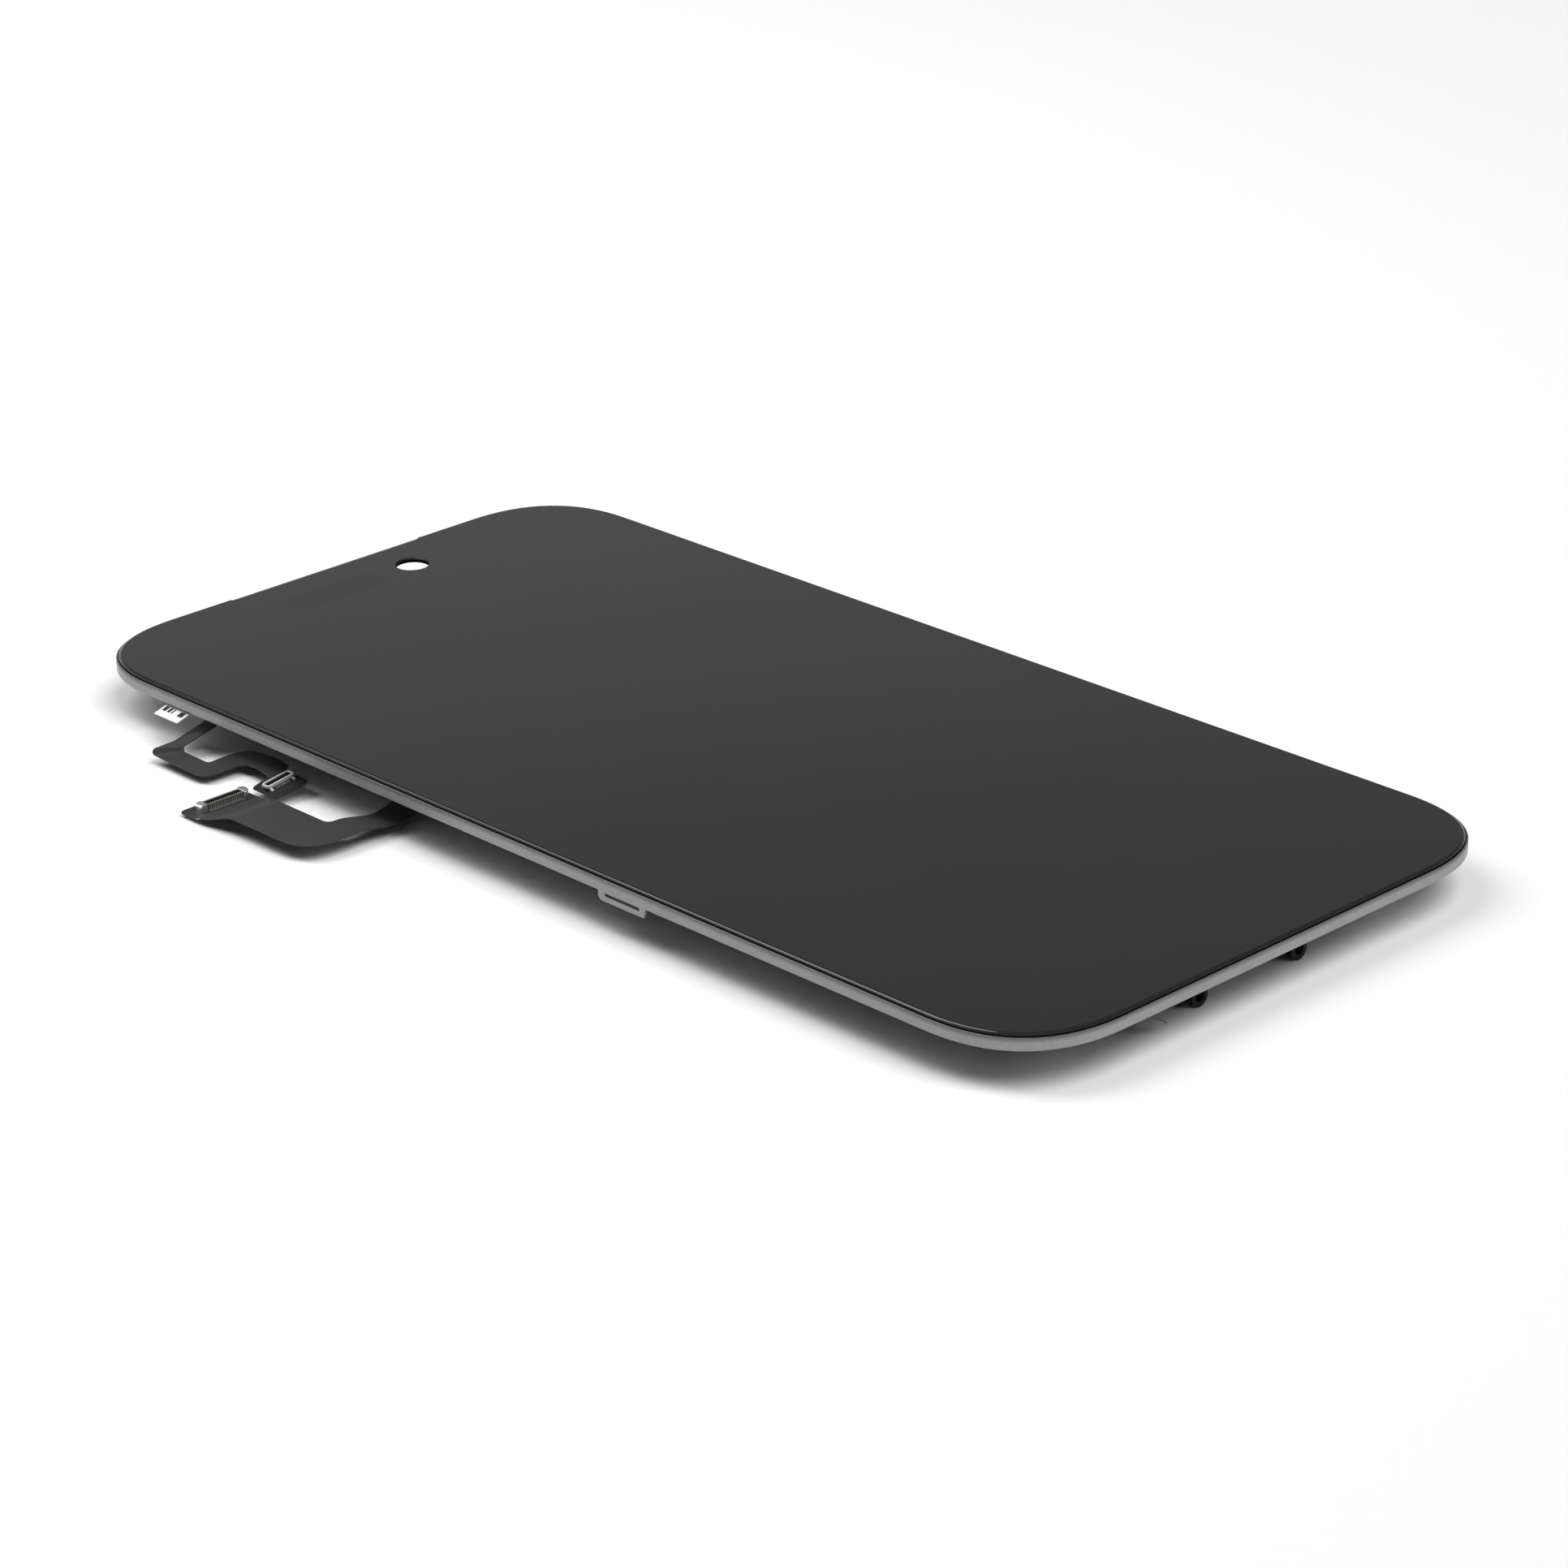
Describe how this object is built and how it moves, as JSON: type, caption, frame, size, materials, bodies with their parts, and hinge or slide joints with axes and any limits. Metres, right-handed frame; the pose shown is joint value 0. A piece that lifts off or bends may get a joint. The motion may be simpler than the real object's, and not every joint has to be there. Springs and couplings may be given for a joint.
{
  "type": "phone lcd screen assembly",
  "caption": "Flat black phone screen in a thin satin frame, with a round camera hole, side clips, two screw lugs and two flexible tails that end in board connectors.",
  "frame": {"origin": "centre of the front glass face", "axes": "+Z looks out of the screen, +Y points to the end with the camera hole, the flexible tails leave on the -X side"},
  "size_m": [0.0817, 0.144, 0.006],
  "materials": {
    "black_glass": "polished",
    "clear_layers": "clear adhesive",
    "panel_glass": "dark glass",
    "polarizer": "film",
    "light_films": "film",
    "white_plastic": "matt",
    "silicon": "chip",
    "lamp": "lamp",
    "frame_metal": "satin grey",
    "back_metal": "brushed",
    "black_metal": "satin black",
    "black_adhesive": "soft",
    "flex_film": "matt dark film",
    "black_plastic": "matt",
    "bright_metal": "bright",
    "contact_metal": "plated",
    "label_paper": "matt white"
  },
  "bodies": {
    "root": {"cover_glass": "black_glass", "glass_adhesive": "black_adhesive", "bezel_frame": "frame_metal", "clear_adhesive": "clear_layers", "front_polarizer": "polarizer", "filter_glass": "panel_glass", "cell_glass": "panel_glass", "driver_chip": "silicon", "rear_polarizer": "polarizer", "prism_film": "light_films", "diffuser_film": "light_films", "light_guide": "light_films", "reflector_film": "light_films", "lamp_strip": "flex_film", "lamps": "lamp", "light_rim": "white_plastic", "back_plate": "back_metal", "display_flex": "flex_film", "fold_tape": "black_plastic", "display_stiffener": "back_metal", "display_plug": "black_plastic", "display_anchors": "bright_metal", "display_contacts": "contact_metal", "touch_flex": "flex_film", "touch_stiffener": "back_metal", "touch_plug": "black_plastic", "touch_shell": "bright_metal", "touch_contacts": "contact_metal", "lug_bracket": "black_metal", "hook_left": "back_metal", "hook_right": "back_metal", "paper_label": "label_paper", "film_end": "black_plastic"}
  },
  "joints": []
}
